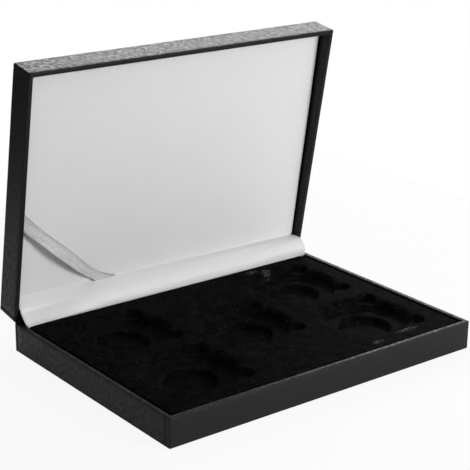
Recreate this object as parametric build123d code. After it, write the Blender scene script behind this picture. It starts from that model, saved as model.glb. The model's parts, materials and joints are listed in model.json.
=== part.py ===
from build123d import *
import math
import os

# Coin display case: a leatherette case for five coins, standing open.
# Millimetres, +Z up. X runs along the hinge, +Y towards it, and the origin is the centre
# of the face that the base stands on.

# ---- case -----------------------------------------------------------------------------
case_length = 200.0          # along the hinge, outside
case_depth = 142.5           # front to back, outside
base_height = 16.2
lid_height = 15.7
lid_angle = 80.0             # how far the lid stands open, from shut
board = 2.0                  # greyboard of both trays
cloth = 0.3                  # leatherette
paper = 0.3                  # sheet under the base
corner_round = 0.8           # upright corners, outside
inner_corner = 0.8           # upright corners, inside
edge_round = 0.5             # edges of the lid's panel and of the base's underside
rim_round = 0.5              # rims of the walls
board_edge = 0.15            # bevels of the greyboard under them
board_rim = 0.15
turn_in = 11.0               # how far the leatherette goes down inside the walls
turn_under = 16.0            # and under the base
paper_inset = 4.0            # the paper's edge, from the base's outside
paper_corner = 3.0
rim_gap = 0.3                # between the shut rims

# ---- hinge spine ----------------------------------------------------------------------
spine_width = 12.0           # glued down on each rear wall
spine_roll = 0.25            # radius of the fold on the hinge line
spine_gap = 0.05             # glue line

# ---- coin insert ----------------------------------------------------------------------
insert_drop = 0.4            # its surface, below the base's rim
insert_side_gap = 1.4        # to the base's walls, left and right
insert_front_gap = 0.4
insert_rear = 7.2            # its rear edge, from the base's outside
insert_corner = 3.0
insert_edge = 1.5            # rounding of the top edge
skin = 1.0                   # formed sheet with its flock
pocket_pitch_x = 59.5        # centre pocket to corner pocket
pocket_pitch_y = 30.1
pocket_shift_x = 0.7         # centre pocket, from the case's middle
pocket_shift_y = -0.9
seat_radius = 23.9           # main seat of a pocket
seat_depth = 6.2
seat_lip = 4.0
seat_root = 1.8
well_radius = 14.7           # smaller well in its middle
well_depth = 10.1
well_lip = 1.1
well_root = 1.0
scoop_radius = 5.3           # finger scoops beside the seat
scoop_centre = 26.8          # from the pocket's centre
scoop_depth = 3.5
scoop_lip = 1.5
scoop_root = 1.3
scoop_angles = (45.0, -45.0)
large_lip = 2.0              # lips above this are rounded in two flats, the rest in one
void_top = 5.0               # cutters reach this far above the insert

# ---- lid pad --------------------------------------------------------------------------
satin = 0.25
card = 1.0
pad_recess_top = 7.5         # the pad's face, below the lid's rim, at its upper edge
pad_recess_foot = 3.8        # and at its lower edge, where the foam is thicker
pad_side_gap = 0.7           # to the lid's walls
pad_foot = 9.8               # the pad's lower edge, from the hinge
pad_edge = 2.4               # rounding of the padded edges
pad_corner = 1.8
satin_turn = 12.0            # satin turned behind the card

# ---- certificate ribbon ---------------------------------------------------------------
ribbon_width = 8.0
ribbon = 0.3
ribbon_gap = 0.12
ribbon_side = 57.8           # where its middle crosses the pad's left edge, from the hinge
ribbon_foot = 38.6           # where its middle crosses the pad's lower edge, left of centre
ribbon_tail = 12.0           # past each edge

# ---- hinge strip ----------------------------------------------------------------------
strip = 0.3
strip_inset = 1.4            # its ends, from the walls
strip_gap = 0.3              # to the ribbon's tail and the insert
strip_bend = 1.5
strip_high = (-2.8, 8.2)     # its two loose bends, (y, z) from the hinge line
strip_low = (-7.3, 4.8)

# ---- worked out -----------------------------------------------------------------------
wall = board + 2 * cloth
hinge_y = case_depth / 2
hinge_z = base_height + rim_gap / 2
inner_length = case_length - 2 * wall
inner_depth = case_depth - 2 * wall
base_floor = paper + cloth + board
lid_floor = cloth + board
pad_half = inner_length / 2 - pad_side_gap
pad_low = pad_foot - case_depth / 2
pad_high = inner_depth / 2 - pad_side_gap
BOTTOM = (Align.CENTER, Align.CENTER, Align.MIN)


def block(length, depth, low, high):
    """A box about the Z axis, between two heights."""
    return Pos(0, 0, low) * Box(length, depth, high - low, align=BOTTOM)


def rounded_block(length, depth, low, high, corner):
    shape = block(length, depth, low, high)
    return fillet(shape.edges().filter_by(Axis.Z), corner)


def open_tray(grow, low, high, side, floor, ease, edge, rim):
    """A shallow tray that opens upwards. It is the case's outline, grown all round, with
    walls of one thickness. ease is how its edge and its rim are broken, by a fillet or
    by a chamfer."""
    length = case_length + 2 * grow
    depth = case_depth + 2 * grow
    tray = rounded_block(length, depth, low, high, corner_round + grow)
    tray = ease(tray.faces().sort_by(Axis.Z)[0].edges(), edge)
    tray -= hollow(wall + grow - side, floor, high + side)
    return ease(tray.faces().sort_by(Axis.Z)[-1].edges(), rim)


def hollow(grow, low, high):
    """The space inside the walls, grown all round."""
    return rounded_block(inner_length + 2 * grow, inner_depth + 2 * grow, low, high,
                         inner_corner + grow)


def board_tray(low, height):
    """The greyboard tray inside the leatherette. low is the underside of its floor."""
    return open_tray(-cloth, low, height - cloth, board, low + board,
                     chamfer, board_edge, board_rim)


def leatherette(low, floor, height, tray):
    """The sheet around a board tray: outside, over the rims and down inside the walls."""
    sheet = open_tray(0, low, height, wall, floor, fillet, edge_round, rim_round)
    return sheet - tray - hollow(cloth, floor, height - turn_in)


def swing(shape):
    """From the lid's own frame to the open lid. In its own frame the lid lies on its
    panel, and its hinge side is at -Y."""
    shut = Pos(0, 0, base_height + rim_gap + lid_height) * Rot(180, 0, 0) * shape
    return shut.rotate(Axis((0, hinge_y, hinge_z), (-1, 0, 0)), lid_angle)


def lid_point(from_hinge, below_rim):
    """(y, z) of a point of the open lid, measured from the hinge line."""
    a = math.radians(lid_angle)
    rise = below_rim + rim_gap / 2
    return (rise * math.sin(a) - from_hinge * math.cos(a),
            rise * math.cos(a) + from_hinge * math.sin(a))


# ---- base -----------------------------------------------------------------------------
def make_base_board():
    return board_tray(paper + cloth, base_height)


def make_base_wrap(tray):
    sheet = leatherette(paper, base_floor, base_height, tray)
    return sheet - block(case_length - 2 * turn_under, case_depth - 2 * turn_under,
                         paper, paper + cloth)


def make_base_paper():
    sheet = block(case_length - 2 * paper_inset, case_depth - 2 * paper_inset, 0, paper)
    return fillet(sheet.edges().filter_by(Axis.Z), paper_corner)


# ---- coin insert ----------------------------------------------------------------------
def flats(centre, radius, start, turn, parts):
    """The corners of a rounding that is made of flats, along an arc."""
    angles = [math.radians(start + turn * i / parts) for i in range(parts + 1)]
    return [(centre[0] + radius * math.cos(a), centre[1] + radius * math.sin(a))
            for a in angles]


def bowl(steps, top):
    """A stepped bowl of revolution, cut downwards from z = 0. Each step is its radius,
    its depth, and the roundings of its lip and its root."""
    corners = [(0, top), (steps[0][0] + steps[0][2], top)]
    level = 0
    for radius, depth, lip, root in steps:
        parts = 2 if lip > large_lip else 1
        corners += flats((radius + lip, -level - lip), lip, 90, 90, parts)
        corners += flats((radius - root, root - depth), root, 0, -90, 1)
        level = depth
    corners.append((0, -level))
    return turned(corners)


def under_bowl(steps, top):
    """The bowl's underside: the same steps, a skin's thickness further out. Only its
    large lips are broken, because nothing touches it."""
    corners = [(0, top), (steps[0][0] + steps[0][2], top)]
    level = skin
    for radius, depth, lip, root in steps:
        side = radius + skin
        if lip > large_lip:
            corners += flats((side + lip - skin, -level - lip + skin), lip - skin, 90, 90, 1)
        else:
            corners.append((side, -level))
        corners.append((side, -depth - skin))
        level = depth + skin
    corners.append((0, -level))
    return turned(corners)


def turned(corners):
    """A solid of revolution about the Z axis, from the (radius, z) of its corners."""
    return revolve(Plane.XZ * make_face(Polyline(*corners, close=True)), Axis.Z)


def pocket(make, top):
    """One coin pocket with its two finger scoops, as a solid under z = 0."""
    seat = (seat_radius, seat_depth, seat_lip, seat_root)
    well = (well_radius, well_depth, well_lip, well_root)
    scoop = (scoop_radius, scoop_depth, scoop_lip, scoop_root)
    shape = make([seat, well], top)
    for angle in scoop_angles:
        a = math.radians(angle)
        place = Pos(scoop_centre * math.cos(a), scoop_centre * math.sin(a), 0)
        shape += place * make([scoop], top)
    return shape


def make_coin_insert():
    surface = base_height - insert_drop
    length = inner_length - 2 * insert_side_gap
    front = -inner_depth / 2 + insert_front_gap
    rear = case_depth / 2 - insert_rear
    seat = Pos(0, (front + rear) / 2, 0)
    outside = block(length, rear - front, base_floor, surface)
    outside = fillet(outside.edges().filter_by(Axis.Z), insert_corner)
    outside = fillet(outside.faces().sort_by(Axis.Z)[-1].edges(), insert_edge)
    inside = block(length - 2 * skin, rear - front - 2 * skin, base_floor, surface - skin)
    inside = fillet(inside.edges().filter_by(Axis.Z), insert_corner - skin)
    inside = chamfer(inside.faces().sort_by(Axis.Z)[-1].edges(), insert_edge - skin)
    tray = seat * (outside - inside)
    corners = [(sx * pocket_pitch_x, sy * pocket_pitch_y) for sx in (-1, 1) for sy in (-1, 1)]
    places = [Pos(pocket_shift_x + x, pocket_shift_y + y, surface)
              for x, y in [(0, 0)] + corners]
    inside_skin = -skin / 2
    cup = pocket(under_bowl, inside_skin)
    void = pocket(bowl, void_top)
    tray = tray + [place * cup for place in places]
    return tray - [place * void for place in places]


# ---- lid ------------------------------------------------------------------------------
def make_lid_board():
    return board_tray(cloth, lid_height)


def make_lid_wrap(tray):
    return leatherette(0, lid_floor, lid_height, tray)


def pad_block(grow, low, high):
    """The pad's outline in the lid's own frame, grown by a sheet's thickness."""
    return Pos(0, (pad_low + pad_high) / 2, 0) * block(
        2 * pad_half + 2 * grow, pad_high - pad_low + 2 * grow, low, high)


def rounded_pad_block(grow, low, high):
    return fillet(pad_block(grow, low, high).edges().filter_by(Axis.Z), pad_corner + grow)


def cushion(grow, low):
    """The padded shape. Its face slopes, and its edges are rounded."""
    fall = math.atan2(pad_recess_top - pad_recess_foot, pad_high - pad_low)
    above = Pos(0, pad_low, lid_height - pad_recess_foot) * Rot(-math.degrees(fall), 0, 0) \
        * block(2 * case_length, 4 * case_depth, grow, lid_height)
    shape = rounded_pad_block(grow, low, lid_height) - above
    return fillet(shape.faces().sort_by(Axis.Z)[-1].edges(), pad_edge + grow)


def make_lining_card():
    return rounded_pad_block(-satin, lid_floor + satin, lid_floor + satin + card)


def make_lining_foam():
    return cushion(-satin, lid_floor + satin + card)


def make_lining_satin(card_sheet, foam):
    cover = cushion(0, lid_floor)
    window = pad_block(-satin_turn, lid_floor, lid_floor + satin)
    return cover - card_sheet - foam - window


def make_certificate_ribbon():
    """A band across the lid's lower left corner, over the pad's rounded edges and down
    between the pad and the walls."""
    low = lid_floor + ribbon_gap
    outer = cushion(ribbon_gap + ribbon, low)
    inner = cushion(ribbon_gap, low)
    start = (-pad_half, ribbon_side - case_depth / 2)
    end = (-ribbon_foot, pad_low)
    run = math.dist(start, end) + 2 * ribbon_tail
    slope = math.degrees(math.atan2(end[1] - start[1], end[0] - start[0]))
    middle = Pos((start[0] + end[0]) / 2, (start[1] + end[1]) / 2, 0)
    band = middle * Rot(0, 0, slope) * block(run, ribbon_width, 0, lid_height)
    return (outer - inner) & band


# ---- across the hinge -----------------------------------------------------------------
def thick_line(points, radii, thickness, half_length):
    """A bent sheet: a rounded polyline of (y, z) from the hinge line, given a thickness
    and drawn out along the hinge."""
    path = FilletPolyline(*points, radius=radii)
    face = trace(path, thickness)
    section = Plane(origin=(-half_length, hinge_y, hinge_z), x_dir=(0, 1, 0), z_dir=(1, 0, 0))
    return extrude(section * face, 2 * half_length)


def make_hinge_strip():
    """Loose satin from the lid, out under the pad's lower edge and down behind the
    insert to the base's floor."""
    foot = pad_foot - ribbon_gap - ribbon - strip_gap - strip / 2
    down = -insert_rear + strip_gap + strip / 2
    points = [lid_point(foot, lid_height - lid_floor - strip_gap),
              lid_point(foot, pad_recess_foot + pad_edge / 2),
              strip_high,
              strip_low,
              (down, -insert_drop - insert_edge / 2),
              (down, base_floor - hinge_z + strip_gap)]
    return thick_line(points, strip_bend, strip, inner_length / 2 - strip_inset)


def make_spine():
    """The hinge itself: leatherette glued down both rear walls, folded on the line."""
    off = spine_gap + cloth / 2
    lid_end = lid_point(-off, spine_width)
    fold = (off, -off * math.tan(math.radians(lid_angle / 2)))
    points = [(off, -spine_width), fold, lid_end]
    half = case_length / 2 - corner_round
    legs = thick_line(points, cloth, cloth, half)
    roll = Pos(-half, hinge_y, hinge_z) * Rot(0, 90, 0) * Cylinder(spine_roll, 2 * half,
                                                                  align=BOTTOM)
    return legs + roll


def main():
    base_board = make_base_board()
    lid_board = make_lid_board()
    lining_card = make_lining_card()
    lining_foam = make_lining_foam()
    parts = {
        "base_board": base_board,
        "base_wrap": make_base_wrap(base_board),
        "base_paper": make_base_paper(),
        "coin_insert": make_coin_insert(),
        "lid_board": swing(lid_board),
        "lid_wrap": swing(make_lid_wrap(lid_board)),
        "lining_card": swing(lining_card),
        "lining_foam": swing(lining_foam),
        "lining_satin": swing(make_lining_satin(lining_card, lining_foam)),
        "certificate_ribbon": swing(make_certificate_ribbon()),
        "hinge_strip": make_hinge_strip(),
        "spine": make_spine(),
    }
    os.makedirs("parts", exist_ok=True)
    for name, shape in parts.items():
        export_step(shape, f"parts/{name}.step")


main()
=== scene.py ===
import bpy
import json
import math
from mathutils import Matrix, Vector, noise
from mathutils.geometry import delaunay_2d_cdt


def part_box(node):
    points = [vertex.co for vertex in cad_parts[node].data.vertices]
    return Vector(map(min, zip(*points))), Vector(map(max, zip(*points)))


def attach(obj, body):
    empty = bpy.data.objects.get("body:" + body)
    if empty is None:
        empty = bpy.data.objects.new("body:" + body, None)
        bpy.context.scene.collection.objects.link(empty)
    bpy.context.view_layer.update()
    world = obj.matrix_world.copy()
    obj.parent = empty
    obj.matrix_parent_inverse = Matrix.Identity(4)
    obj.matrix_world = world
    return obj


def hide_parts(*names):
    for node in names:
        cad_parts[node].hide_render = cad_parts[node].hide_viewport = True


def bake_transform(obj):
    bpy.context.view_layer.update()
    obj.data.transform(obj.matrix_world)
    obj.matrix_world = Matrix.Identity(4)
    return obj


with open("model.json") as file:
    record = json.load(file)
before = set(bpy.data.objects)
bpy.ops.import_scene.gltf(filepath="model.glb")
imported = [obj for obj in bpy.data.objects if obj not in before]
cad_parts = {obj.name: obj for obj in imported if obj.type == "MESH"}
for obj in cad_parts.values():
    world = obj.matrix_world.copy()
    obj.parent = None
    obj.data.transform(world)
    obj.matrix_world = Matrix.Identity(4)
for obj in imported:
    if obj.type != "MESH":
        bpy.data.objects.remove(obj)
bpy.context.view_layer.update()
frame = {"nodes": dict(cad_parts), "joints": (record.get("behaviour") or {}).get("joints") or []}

# Coin display case, standing open: two leatherette trays joined by a leatherette spine, a
# flocked insert for five coins, a satin pad in the lid with a ribbon across its corner, and
# a loose satin strip over the hinge. Metres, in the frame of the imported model.
MM = 0.001

# ---- the case, from the frame ---------------------------------------------------------
lid_hinge = frame["joints"][0]
hinge = Vector(lid_hinge["pos_m"])
open_angle = math.radians(-lid_hinge["range_deg"][0])
wrap_low, wrap_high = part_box("base_wrap")
half_length = wrap_high.x
half_depth = wrap_high.y
base_bottom = wrap_low.z
case_height = wrap_high.z
insert_low, insert_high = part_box("coin_insert")

# ---- leatherette ----------------------------------------------------------------------
wall = 2.6 * MM              # board with leatherette on both sides
cloth = 0.3 * MM
corner_round = 0.8 * MM      # the upright edges, outside and inside
edge_round = 0.5 * MM        # the edges of the panels
rim_round = 0.5 * MM
turn_in = 11.0 * MM          # how far it goes down inside
turn_under = 16.0 * MM       # and how far under the base
wave_height = 0.05 * MM      # unevenness where it is glued
wave_scale = 60              # waves to the metre
seam_depth = 0.32 * MM
seam_shade_rate = 1.4              # how fast the colour is painted darker with the sink in the seams, as the shade in their grooves
# how the flap lies that is turned round each upright edge, as the distance from the edge
# and how deep the surface sinks there, as a share of seam_depth
flap_lay = [(0.95 * MM, 0.0), (1.15 * MM, 0.3), (1.4 * MM, 0.0), (1.8 * MM, -0.14),
            (2.15 * MM, -0.08), (2.3 * MM, 0.1), (2.5 * MM, 0.7), (2.85 * MM, 0.7),
            (3.1 * MM, 0.0)]
flap_lip_wear_and_highlight = 0.7              # how rubbed the lip beside the flap's edge is; it is also painted lighter there as a highlight
flap_start = 0.7             # where a flap begins on the panel's rounded edge
rim_wear_and_highlight = 0.8               # how rubbed the rim's inner edge is; it is also painted lighter there as a highlight
spine_width = 12.0 * MM      # glued to each rear wall
spine_gap = 0.05 * MM

# ---- coin insert ----------------------------------------------------------------------
pocket_pitch_x = 59.5 * MM
pocket_pitch_y = 30.1 * MM
pocket_shift_x = 0.7 * MM
pocket_shift_y = -0.9 * MM
# radius, depth, rounding of the lip and of the root
seat = (23.9 * MM, 6.2 * MM, 4.0 * MM, 1.8 * MM)
well = (14.7 * MM, 10.1 * MM, 1.1 * MM, 1.0 * MM)
scoop = (5.3 * MM, 3.5 * MM, 1.5 * MM, 1.3 * MM)
scoop_centre = 26.8 * MM     # from the pocket's middle
scoop_angles = (45.0, -45.0)
scoop_blend = 0.35 * MM      # softens the crease between scoop and seat
insert_corner = 3.0 * MM
insert_edge = 1.5 * MM
mouth_margin = 0.4 * MM      # from a pocket's lip to where the flat top begins
filler_spread = 9.0 * MM     # between the points on the flat top
filler_margin = 1.5 * MM     # and from them to the pockets and the edge
# where the flock is rubbed: the middle and the half length and width, in millimetres
rubbed_places = [(52.0, 57.9, 4.2, 2.6), (60.0, 55.0, 3.4, 2.4), (41.0, -62.0, 4.5, 1.9),
                 (65.0, -58.6, 8.5, 2.2)]

# ---- lid lining -----------------------------------------------------------------------
lid_floor = 2.3 * MM         # where the pad is glued, above the lid's outside
lid_height = 15.7 * MM
pad_recess_top = 7.6 * MM    # the pad's face, below the rim, at its upper edge
pad_recess_foot = 4.6 * MM   # and at its lower edge
pad_foot = 9.8 * MM          # its lower edge, from the hinge
pad_side_gap = 0.7 * MM
pad_edge = 1.2 * MM          # rounding of its edges
pad_foot_edge = 0.6 * MM     # its lower edge, where the strip lies against it
pad_cell = 2.6 * MM          # its mesh
pad_swell = 0.4 * MM         # most that the filled satin may move
pad_edge_reach = 9.0 * MM    # how far in from its edges the satin puckers
pad_slow_wave = 0.16 * MM
pad_quick_wave = 0.10 * MM
pad_half = half_length - wall - pad_side_gap
pad_high = half_depth - wall - pad_side_gap
crease_middle = 11.2 * MM    # where strip and pad meet, from the hinge, in the middle
crease_slant = -0.0165       # and how that changes along the hinge
ribbon_width = 7.4 * MM
ribbon_thick = 0.3 * MM
# the ribbon's two edges from the lid's wall to the crease, as the place along the hinge,
# the distance from it, and the height above the pad's face, in millimetres
ribbon_upper = [(-97.2, 64.6, -3.5), (-96.9, 64.2, 0.0), (-94.0, 60.7, 1.2), (-85.0, 51.5, 3.2),
                (-72.3, 40.4, 4.0), (-63.5, 32.5, 3.4), (-55.5, 24.9, 2.3), (-48.6, 19.0, 1.2),
                (-42.5, 15.3, 0.5), (-34.5, 11.7, 0.1), (-32.6, 10.0, -2.0)]
ribbon_lower = [(-97.2, 55.0, -3.5), (-96.9, 54.6, 0.8), (-94.9, 51.6, 2.0), (-83.7, 41.6, 4.6),
                (-77.2, 35.7, 5.3), (-69.2, 28.8, 4.9), (-61.2, 21.7, 3.6), (-54.8, 16.8, 2.2),
                (-50.6, 13.8, 1.1), (-47.4, 11.2, 0.3), (-45.9, 9.8, -2.0)]

# ---- satin strip over the hinge -------------------------------------------------------
# its tucked-in upper end, as the distance back from the crease towards the hinge and the
# depth below the pad's face, in millimetres
strip_tuck = [(0.35, 3.0), (0.39, 1.0), (0.95, 0.24)]
# its section from the crease down to the insert, (y, z) from the hinge line, in
# millimetres, at its left end, in its middle and at its right end
strip_left = [(-0.8, 7.4), (-2.5, 4.2), (-5.9, 0.5), (-8.5, -0.1), (-8.2, -0.45), (-6.9, -1.9)]
strip_middle = [(-1.4, 9.2), (-4.8, 6.5), (-6.7, 3.2), (-7.2, 0.9), (-7.1, -0.5), (-6.8, -1.9)]
strip_right = [(-0.8, 9.4), (-4.4, 8.6), (-6.7, 5.4), (-7.5, 2.6), (-7.3, -0.2), (-6.9, -1.9)]
strip_ends = 52.0 * MM       # how far in from the ends their sections are felt
strip_foot_y = -6.75 * MM    # its lower end, behind the insert, from the hinge line
strip_foot_top = -4.0 * MM
strip_foot_gap = 0.6 * MM    # above the insert's underside
strip_side = 0.3 * MM        # gap to the lid's and the base's inner walls
strip_flare = 1.3 * MM       # how far its lower corners stand forward
strip_corner = 2.5 * MM      # and how far in from the ends that is felt
strip_thick = 0.25 * MM
strip_columns = 130
strip_rows = 8               # rows of its mesh from one point of the section to the next
# the rows between which it stands forward at its corners, as first row and number of rows
# for the rise and for the fall, and between which its waves are felt
flare_rise = (14, 30)
flare_fall = (52, 12)
loose_rows = (20, 29)
strip_lean = 0.7             # the waves stand out along the diagonal

# ---- view of the picture --------------------------------------------------------------
camera_place = Vector((-0.44833, -0.55945, 0.31273))
camera_forward = Vector((0.58573, 0.74217, -0.32573))
camera_roll = math.radians(0.8027)
picture_width = 470
focal_pixels = 1437.22


def lid_frame():
    """From the lid's own frame to the open lid. In its own frame the lid lies on its
    panel with its hinge side at -Y."""
    rim = 2 * hinge.z - case_height
    shut = Matrix.Translation((0, 0, rim + lid_height)) @ Matrix.Rotation(math.pi, 4, "X")
    turn = Matrix.Rotation(open_angle, 4, Vector((-1, 0, 0)))
    return Matrix.Translation(hinge) @ turn @ Matrix.Translation(-hinge) @ shut


def lid_point(from_hinge, below_rim):
    """(y, z) from the hinge line of a point of the open lid."""
    rise = below_rim + hinge.z - case_height
    return Vector((rise * math.sin(open_angle) - from_hinge * math.cos(open_angle),
                   rise * math.cos(open_angle) + from_hinge * math.sin(open_angle)))


# ---- meshes ---------------------------------------------------------------------------
def new_piece(name, points, faces, uvs=None):
    """A smooth-shaded mesh. uvs holds one (u, v) in metres for each point."""
    mesh = bpy.data.meshes.new(name)
    mesh.from_pydata([tuple(p) for p in points], [], faces)
    mesh.update()
    mesh.polygons.foreach_set("use_smooth", [True] * len(mesh.polygons))
    if uvs:
        layer = mesh.uv_layers.new(name="UVMap")
        for loop in mesh.loops:
            layer.data[loop.index].uv = uvs[loop.vertex_index]
    piece = bpy.data.objects.new(name, mesh)
    bpy.context.scene.collection.objects.link(piece)
    return piece


def strips_between(rows, columns, closed):
    """Quads between rows of points, where closed says that each row is a loop."""
    last = columns if closed else columns - 1
    return [(r * columns + c, r * columns + (c + 1) % columns,
             (r + 1) * columns + (c + 1) % columns, (r + 1) * columns + c)
            for r in range(rows - 1) for c in range(last)]


def set_attribute(piece, name, values):
    """A number for each point, for the piece's material to read."""
    layer = piece.data.attributes.new(name, "FLOAT", "POINT")
    layer.data.foreach_set("value", values)


def eased(value, start, length):
    """0 up to start, 1 from length further on, and smooth between."""
    t = min(max((value - start) / length, 0.0), 1.0)
    return t * t * (3 - 2 * t)


def arc(centre, radius, start, turn, steps):
    """Points along an arc in a plane, both ends included."""
    angles = [math.radians(start + turn * i / steps) for i in range(steps + 1)]
    return [(centre[0] + radius * math.cos(a), centre[1] + radius * math.sin(a))
            for a in angles]


def rounded_loop(half_x, half_y, radius, lay):
    """A rounded rectangle as (x, y, normal x, normal y, sink) anticlockwise. lay is how
    the flaps lie on its two ends, as (y, sink)."""
    loop = []
    corner_steps, side_steps = 8, 24
    for quarter in range(4):
        start = 90 * quarter
        sx = 1 if quarter in (0, 3) else -1
        sy = 1 if quarter in (0, 1) else -1
        cx, cy = sx * (half_x - radius), sy * (half_y - radius)
        for i in range(corner_steps + 1):
            a = math.radians(start + 90 * i / corner_steps)
            loop.append((cx + radius * math.cos(a), cy + radius * math.sin(a),
                         math.cos(a), math.sin(a), 0.0))
        along = math.radians(start + 90)
        nx, ny = math.cos(along), math.sin(along)
        reach = (half_x if quarter in (0, 2) else half_y) - radius
        stops = [(reach * (1 - 2 * i / side_steps), 0.0) for i in range(1, side_steps)]
        if quarter in (1, 3):
            stops = with_flaps(stops, lay, reach)
        for place, sink in stops:
            turned = place if quarter in (0, 1) else -place
            x = turned if quarter in (0, 2) else nx * half_x
            y = ny * half_y if quarter in (0, 2) else turned
            loop.append((x, y, nx, ny, sink))
    return loop


def with_flaps(stops, lay, reach):
    """Puts the lay of the flaps at both ends of a row of stops."""
    least, clearance = 0.01 * MM, 0.3 * MM
    near = [(min(place, reach - least * (rank + 1)), sink)
            for rank, (place, sink) in enumerate(lay)]
    far = [(-place, sink) for place, sink in reversed(near)]
    clear = abs(near[-1][0]) - clearance if near else reach
    return near + [stop for stop in stops if abs(stop[0]) < clear] + far


def tray_rows(low, rim, panel_rows):
    """(inset, z, how rubbed it is and how much lighter it is painted as a highlight, whether the
    flaps show) for each row of a leatherette tray, from the middle of its panel over the outside,
    the rim and down the inside."""
    rows = list(panel_rows)
    for inset, z in reversed(arc((edge_round, low + edge_round), edge_round, 180, 90, 6)):
        rows.append((inset, z, 1.0, int(inset < edge_round * flap_start)))
    spans = 7
    bottom, top = low + edge_round, rim - rim_round
    for i in range(1, spans):
        rows.append((0.0, bottom + (top - bottom) * i / spans, 0.0, 1))
    for inset, z in arc((rim_round, top), rim_round, 180, -90, 5):
        rows.append((inset, z, 1.0, 1))
    for inset, z in arc((wall - rim_round, top), rim_round, 90, -90, 5):
        rows.append((inset, z, rim_wear_and_highlight, 0))
    end = rim - turn_in
    for i in range(1, spans):
        rows.append((wall, top + (end - top) * i / spans, 0.0, 0))
    rows.append((wall - cloth * 0.8, end - cloth * 0.2, 0.0, 0))
    return rows


def make_tray(name, low, rim, panel_rows, filled):
    """The leatherette over one half of the case, as one open sheet. filled says that it
    covers the whole panel."""
    points, wear_and_highlight, seam_shade = [], [], []
    lay = [(half_depth - away, sink) for away, sink in flap_lay]
    rows = tray_rows(low, rim, panel_rows)
    for inset, z, wear_and_highlight_share, outside in rows:
        loop = rounded_loop(half_length - inset, half_depth - inset, corner_round, lay)
        for x, y, nx, ny, sink in loop:
            p = Vector((x, y, z))
            wave = wave_height * noise.noise(p * wave_scale + Vector((3.1, 0.7, 5.2)))
            flat = 1.0 if inset < wall else 0.0
            deep = seam_depth * sink * outside
            p.x += nx * (wave * flat - wave_height - deep)
            p.y += ny * (wave * flat - wave_height - deep)
            points.append(p)
            # how rubbed each point is, and how much lighter it is painted there as a highlight
            wear_and_highlight.append(max(wear_and_highlight_share, flap_lip_wear_and_highlight * outside if sink < 0.0 else 0.0))
            # painted shade in the seams, darker the deeper they sink
            seam_shade.append(min(max(sink, 0.0) * seam_shade_rate, 1.0) * outside)
    count = len(loop)
    faces = strips_between(len(rows), count, True)
    if filled:
        faces.append(tuple(reversed(range(count))))
    piece = new_piece(name, points, faces)
    set_attribute(piece, "wear_and_highlight", wear_and_highlight)
    set_attribute(piece, "seam_shade", seam_shade)
    return piece


def make_base_leatherette():
    """The base's leatherette, turned under its floor and open there for the paper."""
    inner = [(turn_under, base_bottom + cloth, 0.0, 0), (turn_under, base_bottom, 0.0, 0),
             (turn_under / 2, base_bottom, 0.0, 0)]
    piece = make_tray("base_leatherette", base_bottom, case_height, inner, False)
    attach(piece, "base")
    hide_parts("base_wrap")
    return piece


def make_lid_leatherette():
    """The lid's leatherette, over its whole panel."""
    inner = [(half_depth * share, 0.0, 0.0, 0) for share in (0.8, 0.55, 0.3, 0.12, 0.04)]
    piece = make_tray("lid_leatherette", 0.0, lid_height, inner, True)
    piece.matrix_world = lid_frame()
    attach(piece, "lid")
    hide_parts("lid_wrap")
    return piece


# ---- coin insert ----------------------------------------------------------------------
def bowl_profile(steps):
    """(radius, depth) along a stepped bowl, from its mouth to its middle."""
    line = []
    level = 0.0
    for radius, depth, lip, root in steps:
        line += arc((radius + lip, -level - lip), lip, 90, 90, 8)
        line += arc((radius - root, root - depth), root, 0, -90, 6)
        level = depth
    return line


def depth_in(r, step):
    """The depth of a one-step bowl at a distance from its middle."""
    radius, depth, lip, root = step
    if r >= radius + lip:
        return 0.0
    if r >= radius:
        return lip - math.sqrt(max(lip * lip - (radius + lip - r) ** 2, 0.0))
    if r >= radius - root:
        return depth - root + math.sqrt(max(root * root - (r - radius + root) ** 2, 0.0))
    return depth


def scoop_places():
    """The middles of a pocket's finger scoops, from the pocket's own."""
    return [Vector((scoop_centre * math.cos(math.radians(a)),
                    scoop_centre * math.sin(math.radians(a)))) for a in scoop_angles]


def mouth_reach(angle):
    """How far a pocket's mouth reaches from its middle in one direction, scoops and all."""
    reach = seat[0] + seat[2] + mouth_margin
    edge = scoop[0] + scoop[2] + mouth_margin
    for place in scoop_places():
        turn = angle - math.atan2(place.y, place.x)
        across = place.length * math.sin(turn)
        if math.cos(turn) > 0 and abs(across) < edge:
            reach = max(reach, place.length * math.cos(turn)
                        + math.sqrt(edge * edge - across * across))
    return reach


def add_pocket(points, faces, centre, surface):
    """One pocket as rings round its middle. It returns the ring at its mouth."""
    turns, collar = 240, 14
    profile = bowl_profile([seat, well])
    mouth = profile[0][0]
    start = len(points)
    rings = 0
    for step in range(collar, 0, -1):
        for t in range(turns):
            a = 2 * math.pi * t / turns
            r = mouth + (mouth_reach(a) - mouth) * step / collar
            points.append(pocket_point(centre, surface, r, 0.0, a))
        rings += 1
    inner = well[0] - well[3]
    floor = [(inner * share, -well[1]) for share in (0.66, 0.33)]
    ledge = len(profile) // 2
    middle = [profile[ledge - 1], profile[ledge]]
    between = [(middle[0][0] + (middle[1][0] - middle[0][0]) * s, middle[0][1])
               for s in (0.2, 0.4, 0.6, 0.8)]
    for r, z in profile[:ledge] + between + profile[ledge:] + floor:
        for t in range(turns):
            points.append(pocket_point(centre, surface, r, z, 2 * math.pi * t / turns))
        rings += 1
    for r in range(rings - 1):
        for t in range(turns):
            a, b = start + r * turns + t, start + r * turns + (t + 1) % turns
            faces.append((a, b, b + turns, a + turns))
    middle = len(points)
    points.append(Vector((centre.x, centre.y, surface - well[1])))
    last = start + (rings - 1) * turns
    for t in range(turns):
        faces.append((last + t, last + (t + 1) % turns, middle))
    return list(range(start, start + turns))


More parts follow.
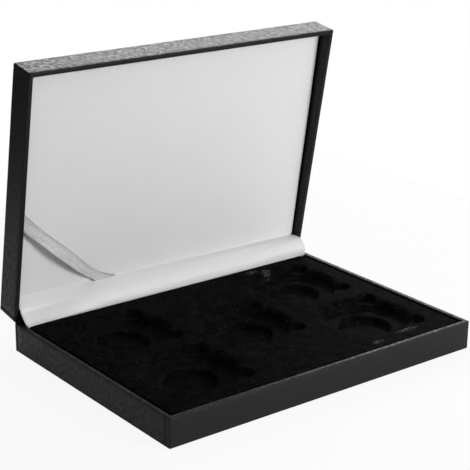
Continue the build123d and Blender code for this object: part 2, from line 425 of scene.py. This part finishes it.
def pocket_point(centre, surface, r, z, angle):
    """A point of a pocket, lowered into its finger scoops where they are deeper."""
    x, y = r * math.cos(angle), r * math.sin(angle)
    depth = -z
    for place in scoop_places():
        other = depth_in(math.hypot(x - place.x, y - place.y), scoop)
        depth = soft_max(depth, other, scoop_blend)
    return Vector((centre.x + x, centre.y + y, surface - depth))


def soft_max(a, b, blend):
    """The larger of two depths, with the crease between them softened."""
    if b <= 0.0:
        return a
    near = max(blend - abs(a - b), 0.0) / blend
    return max(a, b) + near * near * blend / 4


def pocket_centres():
    """One pocket in the middle and four round it."""
    corners = [(sx * pocket_pitch_x, sy * pocket_pitch_y) for sx in (-1, 1) for sy in (-1, 1)]
    return [Vector((pocket_shift_x + x, pocket_shift_y + y)) for x, y in [(0, 0)] + corners]


def make_insert():
    """The flocked sheet: five pockets in a flat top that turns down all round."""
    surface = insert_high.z
    points, faces = [], []
    mouths = [add_pocket(points, faces, centre, surface) for centre in pocket_centres()]
    middle = Vector(((insert_low.x + insert_high.x) / 2, (insert_low.y + insert_high.y) / 2))
    half = Vector(((insert_high.x - insert_low.x) / 2, (insert_high.y - insert_low.y) / 2))
    rows = arc((insert_edge, -insert_edge), insert_edge, 90, 90, 6)
    rows.append((0.0, insert_low.z - surface))
    first = len(points)
    for inset, drop in rows:
        for x, y, *_ in rounded_loop(half.x - inset, half.y - inset,
                                     insert_corner - inset, []):
            points.append(Vector((middle.x + x, middle.y + y, surface + drop)))
    count = (len(points) - first) // len(rows)
    for a, b, c, d in strips_between(len(rows), count, True):
        faces.append((first + d, first + c, first + b, first + a))
    edge = list(range(first, first + count))
    rims = [edge] + mouths
    used = [i for rim in rims for i in rim]
    order = {index: k for k, index in enumerate(used)}
    flat = [points[i].to_2d() for i in used]
    loops = [[order[i] for i in rim] for rim in rims]
    edges = [(loop[k], loop[(k + 1) % len(loop)]) for loop in loops for k in range(len(loop))]
    extra = filler_points(middle, half)
    for p in extra:
        used.append(len(points))
        points.append(Vector((p.x, p.y, surface)))
    made = delaunay_2d_cdt(flat + extra, edges, [], 0, 1e-7)
    for triangle in made[2]:
        corners = [made[3][k][0] for k in triangle]
        spot = sum(((flat + extra)[k] for k in corners), Vector((0, 0))) / 3
        if on_top(spot, middle, half):
            faces.append(tuple(used[k] for k in corners))
    piece = new_piece("flocked_insert", points, faces)
    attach(piece, "base")
    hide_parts("coin_insert")
    return piece


def filler_points(middle, half):
    """Points spread over the flat top, clear of its edge and of the pockets."""
    found = []
    columns = int(2 * half.x / filler_spread)
    rows = int(2 * half.y / filler_spread)
    for i in range(1, columns):
        for j in range(1, rows):
            p = Vector((middle.x - half.x + 2 * half.x * i / columns,
                        middle.y - half.y + 2 * half.y * j / rows))
            if on_top(p, middle, half, filler_margin):
                found.append(p)
    return found


def on_top(p, middle, half, margin=0.0):
    """Whether a point lies on the flat top, outside every pocket's mouth."""
    if abs(p.x - middle.x) > half.x - insert_edge - margin:
        return False
    if abs(p.y - middle.y) > half.y - insert_edge - margin:
        return False
    slack = 0.02 * MM
    for centre in pocket_centres():
        away = p - centre
        if away.length < mouth_reach(math.atan2(away.y, away.x)) + margin - slack:
            return False
    return True


# ---- lid lining -----------------------------------------------------------------------
def recess(from_hinge):
    """How far the pad's face lies below the rim."""
    share = (from_hinge - pad_foot) / (half_depth + pad_high - pad_foot)
    return pad_recess_foot + (pad_recess_top - pad_recess_foot) * share


def crease(x):
    """Where the pad's lower edge meets the strip, from the hinge."""
    return crease_middle + crease_slant * x


def spaced(low, high, low_edge, high_edge):
    """Places from low to high, close together over the two rounded edges."""
    near = [0.0, 0.1, 0.25, 0.45, 0.7, 1.0, 1.6]
    first = [low + low_edge * share for share in near]
    last = [high - high_edge * share for share in reversed(near)]
    count = round((last[0] - first[-1]) / pad_cell)
    return first + [first[-1] + (last[0] - first[-1]) * i / count
                    for i in range(1, count)] + last


def pad_point(x, share):
    """A point of the pad's face and of its rounded edges. share runs up the pad."""
    low, high = crease(x) - half_depth, pad_high
    y = low + (high - low) * share
    edge = pad_foot_edge if share < 0.5 else pad_edge
    side = max(pad_edge - pad_half + abs(x), 0.0) / pad_edge
    end = max(edge - min(y - low, high - y), 0.0) / edge
    bend = math.hypot(side, end)
    if bend > 1.0:
        x = math.copysign(pad_half - pad_edge + pad_edge * side / bend, x)
        inside = edge - edge * end / bend
        y = low + inside if share < 0.5 else high - inside
    radius = (pad_edge * side + edge * end) / max(side + end, 1e-6)
    drop = radius * (1 - math.sqrt(max(1 - bend * bend, 0.0)))
    return Vector((x, y, lid_height - recess(y + half_depth) - drop))


def pad_mesh():
    """The pad as a closed slab: its face with rounded edges, its sides and flat back."""
    depth = pad_high + half_depth - crease_middle
    across = spaced(-pad_half, pad_half, pad_edge, pad_edge)
    up = [place / depth for place in spaced(0.0, depth, pad_foot_edge, pad_edge)]
    columns, rows = len(across), len(up)
    face = [pad_point(x, share) for share in up for x in across]
    back = [Vector((p.x, p.y, lid_floor)) for p in face]
    points, faces = face + back, []
    layer = len(face)
    for a, b, c, d in strips_between(rows, columns, False):
        faces.append((a, b, c, d))
        faces.append((a + layer, d + layer, c + layer, b + layer))
    edge = list(range(columns))
    edge += [j * columns + columns - 1 for j in range(1, rows)]
    edge += [(rows - 1) * columns + i for i in range(columns - 2, -1, -1)]
    edge += [j * columns for j in range(rows - 2, 0, -1)]
    previous = edge
    for share in (0.35, 0.75):
        ring = []
        for index in edge:
            ring.append(len(points))
            points.append(points[index].lerp(points[index + layer], share))
        faces += ring_between(previous, ring)
        previous = ring
    faces += ring_between(previous, [index + layer for index in edge])
    return points, faces


def ring_between(upper, lower):
    """Quads between two closed rings of point numbers."""
    count = len(upper)
    return [(upper[k], lower[k], lower[(k + 1) % count], upper[(k + 1) % count])
            for k in range(count)]


def fill_pad(piece):
    """Blows the satin up against its pinned back, as the foam does."""
    start = [v.co.copy() for v in piece.data.vertices]
    pins = piece.vertex_groups.new(name="pins")
    pins.add([v.index for v in piece.data.vertices if v.co.z < lid_floor + 0.4 * MM],
             1.0, "REPLACE")
    cloth_modifier = piece.modifiers.new("fill", "CLOTH")
    settings = cloth_modifier.settings
    settings.quality = 6
    settings.mass = 0.2
    settings.tension_stiffness = 40
    settings.compression_stiffness = 40
    settings.shear_stiffness = 20
    settings.bending_stiffness = 2
    settings.use_pressure = True
    settings.uniform_pressure_force = 1.2
    settings.vertex_group_mass = "pins"
    settings.effector_weights.gravity = 0
    scene = bpy.context.scene
    last_frame = 20
    scene.frame_start, scene.frame_end = 1, last_frame
    for step in range(1, last_frame + 1):
        scene.frame_set(step)
    shaped = piece.evaluated_get(bpy.context.evaluated_depsgraph_get())
    moved = [v.co.copy() for v in shaped.data.vertices]
    piece.modifiers.remove(cloth_modifier)
    scene.frame_set(1)
    for vertex, was, now in zip(piece.data.vertices, start, moved):
        step = now - was
        if step.length > pad_swell:
            step *= pad_swell / step.length
        vertex.co = was + step
    piece.vertex_groups.clear()


def soften_pad(piece):
    """The small unevenness of satin drawn over foam, strongest along its edges."""
    for vertex in piece.data.vertices:
        p = vertex.co
        if p.z < lid_floor + 1.0 * MM:
            continue
        edge = min(pad_half - abs(p.x), pad_high - p.y, p.y + half_depth - crease(p.x))
        near = math.exp(-max(edge, 0.0) / pad_edge_reach)
        slow = noise.noise(Vector((p.x * 14, p.y * 14, 1.7)))
        quick = noise.noise(Vector((p.x * 75, p.y * 75, 8.3)))
        p.z += pad_slow_wave * slow + pad_quick_wave * near * quick


def make_pad():
    """The satin pad of the lid."""
    piece = new_piece("satin_pad", *pad_mesh())
    fill_pad(piece)
    soften_pad(piece)
    smooth = piece.modifiers.new("smooth", "SUBSURF")
    smooth.levels = smooth.render_levels = 1
    piece.matrix_world = lid_frame()
    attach(piece, "lid")
    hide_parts("lining_satin", "lining_foam")
    return piece


def make_ribbon():
    """The ribbon that holds a certificate: tucked in behind the pad at both ends, and
    standing off its face between them, most along the lower edge."""
    steps, strands = 80, 10
    upper = along_edge(ribbon_upper, steps)
    lower = along_edge(ribbon_lower, steps)
    along = (upper[steps // 2] - upper[steps // 4]).normalized()
    points, uvs = [], []
    for top, bottom in zip(upper, lower):
        for k in range(strands + 1):
            v = k / strands
            p = bottom.lerp(top, v)
            p.z = max(lid_height - recess(p.y + half_depth) + ribbon_thick + p.z,
                      lid_floor + 0.5 * MM)
            points.append(p)
            uvs.append((p.dot(along), (v - 0.5) * ribbon_width))
    piece = new_piece("certificate_band", points,
                      strips_between(steps + 1, strands + 1, False), uvs)
    thicken(piece, ribbon_thick)
    piece.matrix_world = lid_frame()
    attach(piece, "lid")
    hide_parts("certificate_ribbon")
    return piece


def along_edge(knots, steps):
    """Points at even parameters along one of the ribbon's edges, in the lid's frame, with
    the height above the pad as z."""
    line = spline([Vector((x * MM, w * MM - half_depth, h * MM)) for x, w, h in knots], 24)
    last = len(line) - 1
    return [line[round(last * i / steps)].copy() for i in range(steps + 1)]


def thicken(piece, thickness):
    """Gives a sheet its thickness, half to each side."""
    solid = piece.modifiers.new("thickness", "SOLIDIFY")
    solid.thickness = thickness
    solid.offset = 0
    solid.use_even_offset = True


# ---- across the hinge -----------------------------------------------------------------
def spline(knots, steps):
    """Points along a smooth curve through the knots (Catmull-Rom)."""
    ends = [knots[0] * 2 - knots[1]] + knots + [knots[-1] * 2 - knots[-2]]
    line = []
    for i in range(1, len(ends) - 2):
        a, b, c, d = ends[i - 1:i + 3]
        for k in range(steps):
            t = k / steps
            line.append(0.5 * (2 * b + (c - a) * t + (2 * a - 5 * b + 4 * c - d) * t * t
                               + (3 * b - a - 3 * c + d) * t * t * t))
    line.append(knots[-1])
    return line


def strip_section(x, half):
    """The strip's section at a place along the hinge."""
    join = crease(x)
    deep = recess(join)
    knots = [lid_point(join - back * MM, deep + below * MM) for back, below in strip_tuck]
    end = eased(abs(x), half - strip_ends, strip_ends)
    for left, middle, right in zip(strip_left, strip_middle, strip_right):
        a, b, c = (Vector(p) * MM for p in (left, middle, right))
        knots.append(b.lerp(a if x < 0 else c, end))
    knots.append(Vector((strip_foot_y, strip_foot_top)))
    knots.append(Vector((strip_foot_y, insert_low.z - hinge.z + strip_foot_gap)))
    return spline(knots, strip_rows)


def strip_wave(x, row):
    """How far forward and up the loose satin stands at a place."""
    first, count = loose_rows
    loose = math.sin(math.pi * min(max((row - first) / count, 0.0), 1.0))
    wave = noise.noise(Vector((x * 26, row * 0.12, 4.2))) * 0.35
    wave += noise.noise(Vector((x * 70, row * 0.10, 9.1))) * 0.10
    return wave * loose * MM * strip_lean


def make_hinge_satin():
    """The loose satin from under the pad to behind the insert."""
    half = half_length - wall - strip_side
    columns = strip_columns
    points, uvs = [], []
    for i in range(columns + 1):
        x = -half + 2 * half * i / columns
        flare = strip_flare * math.exp((abs(x) - half) / strip_corner)
        line = strip_section(x, half)
        run = 0.0
        for k, p in enumerate(line):
            if k:
                run += (p - line[k - 1]).length
            forward = flare * (eased(k, *flare_rise) - eased(k, *flare_fall))
            push = strip_wave(x, k)
            points.append(Vector((x, hinge.y + p.x - push - forward, hinge.z + p.y + push)))
            uvs.append((x, run))
    piece = new_piece("hinge_satin", points, strips_between(columns + 1, len(line), False), uvs)
    thicken(piece, strip_thick)
    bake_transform(piece)
    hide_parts("hinge_strip")
    return piece


def make_spine():
    """The leatherette hinge: glued down both rear walls and folded on the line."""
    width = spine_width
    off = spine_gap + cloth / 2
    fold = Vector((off, -off * math.tan(open_angle / 2)))
    lid_end = lid_point(-off, width)
    base_end = Vector((off, -width))
    columns, rows = 60, 12
    knots = [base_end.lerp(fold, t / rows) for t in range(rows)]
    knots += [fold] + [fold.lerp(lid_end, t / rows) for t in range(1, rows + 1)]
    half = half_length - corner_round
    points, uvs = [], []
    for i in range(columns + 1):
        x = -half + 2 * half * i / columns
        run = 0.0
        for k, p in enumerate(knots):
            if k:
                run += (p - knots[k - 1]).length
            points.append(Vector((x, hinge.y + p.x, hinge.z + p.y)))
            uvs.append((x, run))
    piece = new_piece("leatherette_hinge", points,
                      strips_between(columns + 1, len(knots), False), uvs)
    thicken(piece, cloth)
    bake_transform(piece)
    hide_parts("spine")
    return piece


# ---- materials ------------------------------------------------------------------------
class Look:
    """A node material, and short ways to add to it."""

    def __init__(self, name, colour, roughness, specular=0.5, sheen=0.0):
        self.material = bpy.data.materials.new(name)
        self.material.use_nodes = True
        self.tree = self.material.node_tree
        self.shader = self.tree.nodes["Principled BSDF"]
        self.set(self.shader, {"Base Color": (*colour, 1), "Roughness": roughness,
                               "Specular IOR Level": specular, "Sheen Weight": sheen})
        self.place = self.add("ShaderNodeTexCoord").outputs["Object"]

    def set(self, node, values):
        for name, value in values.items():
            if isinstance(value, bpy.types.NodeSocket):
                self.tree.links.new(value, node.inputs[name])
            else:
                node.inputs[name].default_value = value

    def add(self, kind, values=None, **settings):
        node = self.tree.nodes.new(kind)
        for name, value in settings.items():
            setattr(node, name, value)
        self.set(node, values or {})
        return node

    def stretched(self, scale, place=None):
        """The place, scaled by its own factor on each axis."""
        node = self.add("ShaderNodeMapping", {"Vector": place or self.place, "Scale": scale})
        return node.outputs[0]

    def noise(self, scale, detail=2.0, place=None, roughness=0.5):
        node = self.add("ShaderNodeTexNoise", {"Vector": place or self.place, "Scale": scale,
                                               "Detail": detail, "Roughness": roughness})
        return node.outputs["Fac"]

    def cells(self, scale, feature="SMOOTH_F1"):
        return self.add("ShaderNodeTexVoronoi", {"Vector": self.place, "Scale": scale},
                        feature=feature)

    def maths(self, operation, a, b=0.0, c=0.0):
        node = self.add("ShaderNodeMath", operation=operation)
        self.set(node, {0: a, 1: b, 2: c})
        return node.outputs[0]

    def ramp(self, value, low, high, to_low=0.0, to_high=1.0):
        node = self.add("ShaderNodeMapRange", {"Value": value, "From Min": low,
                                               "From Max": high, "To Min": to_low,
                                               "To Max": to_high})
        return node.outputs[0]

    def mix(self, share, a, b):
        node = self.add("ShaderNodeMix", data_type="RGBA")
        self.set(node, {0: share, 6: a, 7: b})
        return node.outputs[2]

    def bump(self, height, distance, strength):
        node = self.add("ShaderNodeBump", {"Height": height, "Distance": distance,
                                           "Strength": strength})
        return node.outputs[0]

    def attribute(self, name):
        return self.add("ShaderNodeAttribute", attribute_name=name).outputs["Fac"]


def grey(value):
    return (value, value, value, 1)


def leatherette_look():
    """Black coated cloth with a fine pebble grain, a little greyer along its rubbed edges, where
    it is also painted lighter as a highlight, and painted dark in its seams as the shade in their
    grooves."""
    look = Look("leatherette", (0.005, 0.005, 0.005), 0.5, 0.25)
    pebbles = look.cells(1500).outputs["Distance"]      # cells of 0.67 mm
    bent = look.noise(1000, 3)
    grain = look.maths("ADD", look.maths("MULTIPLY", pebbles, 0.9),
                       look.maths("MULTIPLY", bent, 0.6))
    broad = look.noise(45, 3)
    wear_and_highlight_share = look.maths("MULTIPLY", look.attribute("wear_and_highlight"), look.ramp(broad, 0.35, 0.7, 0.5, 1.0))
    colour = look.mix(look.ramp(grain, 0.3, 1.0), grey(0.0025), grey(0.0065))
    # lighter along the rubbed edges: partly their rubbing, partly a painted highlight
    colour = look.mix(look.maths("MULTIPLY", wear_and_highlight_share, 0.4), colour, grey(0.012))
    # painted shade in the seams' grooves
    colour = look.mix(look.attribute("seam_shade"), colour, grey(0.001))
    rough = look.ramp(look.noise(420, 2), 0.3, 0.7, 0.38, 0.6)
    rough = look.maths("ADD", rough, look.maths("MULTIPLY", wear_and_highlight_share, 0.12))
    look.set(look.shader, {"Base Color": colour, "Roughness": rough,
                           "Normal": look.bump(grain, 0.11 * MM, 1.0)})
    return look.material


def ridges(look, along, pitch):
    """Ridges across a direction at a pitch, as a height from -1 to 1."""
    return look.maths("SINE", look.maths("MULTIPLY", along, 2 * math.pi / pitch))


def satin_look():
    """White satin: fine threads, slubs that run both ways and a soft sheen."""
    look = Look("satin", (0.8, 0.8, 0.8), 0.42, 0.4, 0.25)
    parts = look.add("ShaderNodeSeparateXYZ", {"Vector": look.place}).outputs
    thread_pitch = 0.34 * MM
    warp, weft = (ridges(look, parts[axis], thread_pitch) for axis in (0, 1))
    threads = look.maths("MULTIPLY_ADD", look.maths("MULTIPLY", warp, weft), 0.5, 0.5)
    down = look.noise(420, 2, look.stretched((1.0, 0.12, 0.12)))
    across = look.noise(420, 2, look.stretched((0.12, 1.0, 1.0)))
    slubs = look.maths("ADD", down, across)
    cloud = look.noise(22, 3)
    tone = look.maths("ADD", look.ramp(slubs, 0.7, 1.3, -0.03, 0.03),
                      look.ramp(cloud, 0.3, 0.7, -0.02, 0.02))
    colour = look.mix(look.maths("ADD", tone, 0.5), grey(0.70), grey(0.88))
    height = look.maths("ADD", look.maths("MULTIPLY", threads, 0.4), slubs)
    look.set(look.shader, {"Base Color": colour, "Sheen Roughness": 0.35,
                           "Roughness": look.ramp(slubs, 0.7, 1.3, 0.38, 0.5),
                           "Normal": look.bump(height, 0.06 * MM, 0.5)})
    return look.material


def ribbon_look():
    """Woven ribbon: streaks along it, fine cross ribs, and a selvedge that a groove sets off
    along its upper side; the groove is painted darker as its shade, and the upper edge is painted
    dark as the shadow where the ribbon lies against the pad."""
    look = Look("ribbon", (0.7, 0.7, 0.7), 0.5, 0.35, 0.15)
    rib_pitch, groove_place = 0.62 * MM, 1.5 * MM
    flat = look.add("ShaderNodeTexCoord").outputs["UV"]
    parts = look.add("ShaderNodeSeparateXYZ", {"Vector": flat}).outputs
    ribs = look.maths("MULTIPLY_ADD", ridges(look, parts[0], rib_pitch), 0.5, 0.5)
    streaks = look.noise(1300, 2, look.stretched((0.05, 1.0, 1.0), flat))
    mottle = look.noise(1400, 2)
    from_top = look.maths("SUBTRACT", ribbon_width / 2, parts[1])
    groove = look.maths("ABSOLUTE", look.maths("SUBTRACT", from_top, groove_place))
    groove = look.ramp(groove, 0.05 * MM, 0.35 * MM, 1.0, 0.0)
    upper_edge_shadow = look.ramp(from_top, 0.35 * MM, 0.6 * MM, 1.0, 0.0)
    selvedge = look.ramp(from_top, ribbon_width - 0.7 * MM, ribbon_width - 0.4 * MM)
    tone = look.maths("ADD", look.ramp(streaks, 0.3, 0.7, 0.05, 0.6),
                      look.ramp(mottle, 0.35, 0.65, -0.15, 0.35))
    tone = look.maths("ADD", tone, look.maths("MULTIPLY", ribs, 0.12))
    colour = look.mix(tone, grey(0.42), grey(0.84))
    # painted shade in the groove
    colour = look.mix(look.maths("MULTIPLY", groove, 0.45), colour, grey(0.26))
    # painted shadow along the upper edge, where the ribbon lies against the pad
    colour = look.mix(look.maths("MULTIPLY", upper_edge_shadow, 0.8), colour, grey(0.16))
    colour = look.mix(look.maths("MULTIPLY", selvedge, 0.7), colour, grey(0.86))
    height = look.maths("ADD", look.maths("MULTIPLY", streaks, 0.8),
                        look.maths("MULTIPLY", ribs, 0.4))
    height = look.maths("SUBTRACT", height, groove)
    look.set(look.shader, {"Base Color": colour, "Sheen Roughness": 0.4,
                           "Normal": look.bump(height, 0.12 * MM, 0.8)})
    return look.material


def rubbed_share(look):
    """How rubbed the flock is: streaky spots at the rubbed places."""
    share = 0.0
    for x, y, long, wide in rubbed_places:
        scale = (1 / (long * MM), 1 / (wide * MM), 0.0)
        spot = look.add("ShaderNodeMapping", {"Vector": look.place, "Scale": scale,
                                              "Location": (-x / long, -y / wide, 0.0)})
        away = look.add("ShaderNodeVectorMath", {0: spot.outputs[0]}, operation="LENGTH")
        inside = look.ramp(away.outputs["Value"], 0.3, 1.1, 1.0, 0.0)
        share = look.maths("MAXIMUM", share, inside)
    streaky = look.ramp(look.noise(700, 3), 0.44, 0.58)
    return look.maths("MULTIPLY", share, streaky)


def flock_look():
    """Black flock: hardly any shine, a short uneven pile, painted lighter in the pockets to lift
    the shade that falls there, places where it is rubbed, stray lint."""
    look = Look("flock", (0.003, 0.003, 0.003), 0.95, 0.03)
    pile = look.noise(800, 4, roughness=0.75)
    lay = look.noise(150, 4, roughness=0.65)
    tone = look.maths("ADD", look.maths("MULTIPLY", pile, 0.65), look.maths("MULTIPLY", lay, 0.5))
    upright = look.ramp(tone, 0.49, 0.68)
    colour = look.mix(upright, grey(0.0005), grey(0.0062))
    # painted light: a lighter copy of the flock for the pockets, lifting their shade
    pocket_lit_colour = look.mix(upright, grey(0.0022), grey(0.0088))
    height = look.add("ShaderNodeSeparateXYZ", {"Vector": look.place}).outputs[2]
    deep = look.ramp(height, insert_high.z - 0.5 * MM, insert_high.z - 6.0 * MM)
    # the deeper into a pocket, the more of the painted light
    colour = look.mix(deep, colour, pocket_lit_colour)
    colour = look.mix(look.maths("MULTIPLY", rubbed_share(look), 0.8), colour, grey(0.13))
    specks = look.cells(330, feature="F1")
    near = look.ramp(specks.outputs["Distance"], 0.08, 0.24, 1.0, 0.0)
    few = look.add("ShaderNodeSeparateColor", {"Color": specks.outputs["Color"]}).outputs[0]
    lint = look.maths("MULTIPLY", near, look.ramp(few, 0.6, 1.0))
    colour = look.mix(look.maths("MULTIPLY", lint, 0.7), colour, grey(0.045))
    look.set(look.shader, {"Base Color": colour,
                           "Normal": look.bump(tone, 0.2 * MM, 0.8)})
    return look.material


def paper_look():
    """The dark sheet under the base, with fibres that run one way."""
    look = Look("underside_paper", (0.03, 0.03, 0.03), 0.85, 0.3)
    fibres = look.noise(1400, 4, look.stretched((1.0, 0.3, 1.0)))
    colour = look.mix(fibres, grey(0.022), grey(0.05))
    look.set(look.shader, {"Base Color": colour, "Normal": look.bump(fibres, 0.05 * MM, 0.6)})
    return look.material


def board_look():
    """Greyboard with dark flecks, where a board's edge or back is seen."""
    look = Look("greyboard", (0.4, 0.38, 0.34), 0.9, 0.3)
    fibres = look.noise(700, 5)
    flecks = look.ramp(look.noise(2400, 2), 0.62, 0.7)
    colour = look.mix(fibres, (0.33, 0.31, 0.28, 1), (0.46, 0.43, 0.38, 1))
    colour = look.mix(look.maths("MULTIPLY", flecks, 0.5), colour, (0.16, 0.14, 0.12, 1))
    look.set(look.shader, {"Base Color": colour, "Normal": look.bump(fibres, 0.1 * MM, 0.5)})
    return look.material


def assign(piece, material):
    piece.data.materials.clear()
    piece.data.materials.append(material)


# ---- stage ----------------------------------------------------------------------------
def seen_white(tree, plain, output, share, mirrored):
    """Mixes plain white into what the camera sees of a surface, and into what shines
    back from the object: share of it and mirrored of it."""
    path = tree.nodes.new("ShaderNodeLightPath")
    glossy = tree.nodes.new("ShaderNodeMath")
    glossy.operation = "MULTIPLY"
    glossy.inputs[1].default_value = mirrored
    tree.links.new(path.outputs["Is Glossy Ray"], glossy.inputs[0])
    much = tree.nodes.new("ShaderNodeMath")
    much.operation = "MULTIPLY_ADD"
    much.inputs[1].default_value = share
    tree.links.new(path.outputs["Is Camera Ray"], much.inputs[0])
    tree.links.new(glossy.outputs[0], much.inputs[2])
    white = tree.nodes.new("ShaderNodeEmission")
    mixer = tree.nodes.new("ShaderNodeMixShader")
    tree.links.new(much.outputs[0], mixer.inputs[0])
    tree.links.new(plain, mixer.inputs[1])
    tree.links.new(white.outputs[0], mixer.inputs[2])
    tree.links.new(mixer.outputs[0], output)


def make_floor():
    """A small pale floor that takes the case's shadow."""
    half = 0.3
    corners = [(-half, -half, 0), (half, -half, 0), (half, half, 0), (-half, half, 0)]
    floor = new_piece("floor", corners, [(0, 1, 2, 3)])
    look = Look("floor", (0.85, 0.85, 0.85), 0.9, 0.1)
    seen_white(look.tree, look.shader.outputs[0],
               look.tree.nodes["Material Output"].inputs["Surface"], share=0.9, mirrored=0.32)
    assign(floor, look.material)


def make_world():
    """Soft light from all round that grows a little with height, seen as plain white."""
    world = bpy.data.worlds.new("studio")
    world.use_nodes = True
    bpy.context.scene.world = world
    tree = world.node_tree
    plain = tree.nodes["Background"]
    plain.inputs["Color"].default_value = grey(1.0)
    aim = tree.nodes.new("ShaderNodeTexCoord")
    parts = tree.nodes.new("ShaderNodeSeparateXYZ")
    level = tree.nodes.new("ShaderNodeMapRange")
    for name, value in (("From Min", -0.05), ("From Max", 0.3), ("To Min", 0.12),
                        ("To Max", 0.38)):
        level.inputs[name].default_value = value
    tree.links.new(aim.outputs["Generated"], parts.inputs[0])
    tree.links.new(parts.outputs[2], level.inputs["Value"])
    tree.links.new(level.outputs[0], plain.inputs["Strength"])
    seen_white(tree, plain.outputs[0], tree.nodes["World Output"].inputs["Surface"],
               share=1.0, mirrored=0.0)


def add_lamp(name, place, aim, size, watts):
    """A soft rectangular lamp that looks from a place at another."""
    data = bpy.data.lights.new(name, "AREA")
    data.shape = "RECTANGLE"
    data.size, data.size_y = size
    data.energy = watts
    lamp = bpy.data.objects.new(name, data)
    lamp.location = place
    lamp.rotation_mode = "QUATERNION"
    lamp.rotation_quaternion = (Vector(aim) - Vector(place)).to_track_quat("-Z", "Y")
    bpy.context.scene.collection.objects.link(lamp)


def make_lights():
    add_lamp("back", (0.95, 1.08, 0.86), (0.0, 0.05, 0.08), (1.1, 0.5), 17)
    add_lamp("key", (0.36, -0.77, 0.28), (0.0, 0.06, 0.08), (0.36, 0.36), 5.6)


def make_camera():
    """The picture's own camera, solved from the case's edges in it."""
    data = bpy.data.cameras.new("camera")
    data.lens = focal_pixels * data.sensor_width / picture_width
    camera = bpy.data.objects.new("camera", data)
    camera.rotation_mode = "QUATERNION"
    camera.location = camera_place
    aim = camera_forward.to_track_quat("-Z", "Y")
    roll = Matrix.Rotation(camera_roll, 4, "Z").to_quaternion()
    camera.rotation_quaternion = aim @ roll
    bpy.context.scene.collection.objects.link(camera)
    bpy.context.scene.camera = camera


def main():
    leatherette = leatherette_look()
    satin = satin_look()
    assign(make_base_leatherette(), leatherette)
    assign(make_lid_leatherette(), leatherette)
    assign(make_insert(), flock_look())
    assign(make_pad(), satin)
    assign(make_ribbon(), ribbon_look())
    assign(make_hinge_satin(), satin)
    assign(make_spine(), leatherette)
    board = board_look()
    for node in ("base_board", "lid_board", "lining_card"):
        assign(frame["nodes"][node], board)
    assign(frame["nodes"]["base_paper"], paper_look())
    make_floor()
    make_world()
    make_lights()
    make_camera()
    bpy.context.scene.view_settings.view_transform = "Standard"


main()
